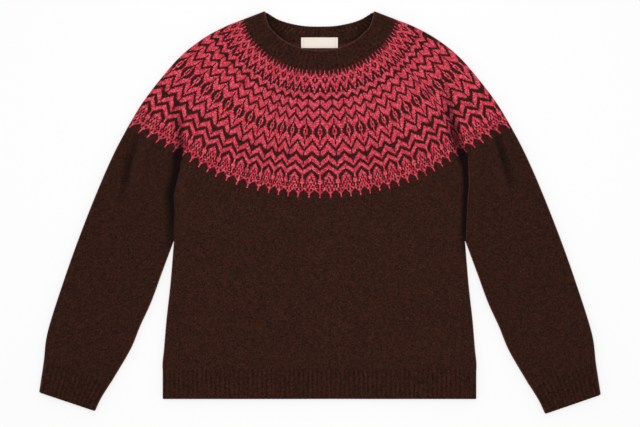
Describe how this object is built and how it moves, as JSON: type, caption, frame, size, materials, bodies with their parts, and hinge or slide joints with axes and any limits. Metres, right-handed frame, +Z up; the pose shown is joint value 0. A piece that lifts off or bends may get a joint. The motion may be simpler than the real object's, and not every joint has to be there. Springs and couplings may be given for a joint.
{
  "type": "fair isle jumper laid flat",
  "caption": "Long-sleeved knitted jumper laid flat, with a patterned round yoke, rib neckband, hem and cuffs and a blank neck label.",
  "frame": {"origin": "centre of the outline of the laid-out jumper, on the surface it lies on", "axes": "+X across the spread sleeves towards the wearer's left sleeve, +Y from the hem towards the neck, +Z up out of the surface, with the front of the jumper uppermost"},
  "size_m": [0.9007, 0.6447, 0.0109],
  "materials": {
    "knit": "matte, brushed lambswool stocking stitch, dark brown",
    "rib": "matte, brushed lambswool 2x2 rib, dark brown",
    "yoke": "matte, two-colour stranded knit in pink and dark brown",
    "label": "satin woven tape, cream, blank"
  },
  "bodies": {
    "root": {"yoke": "yoke", "neckband": "rib", "body": "knit", "hem_rib": "rib", "sleeve_left": "knit", "sleeve_right": "knit", "cuff_left": "rib", "cuff_right": "rib", "neck_label": "label"}
  },
  "joints": []
}
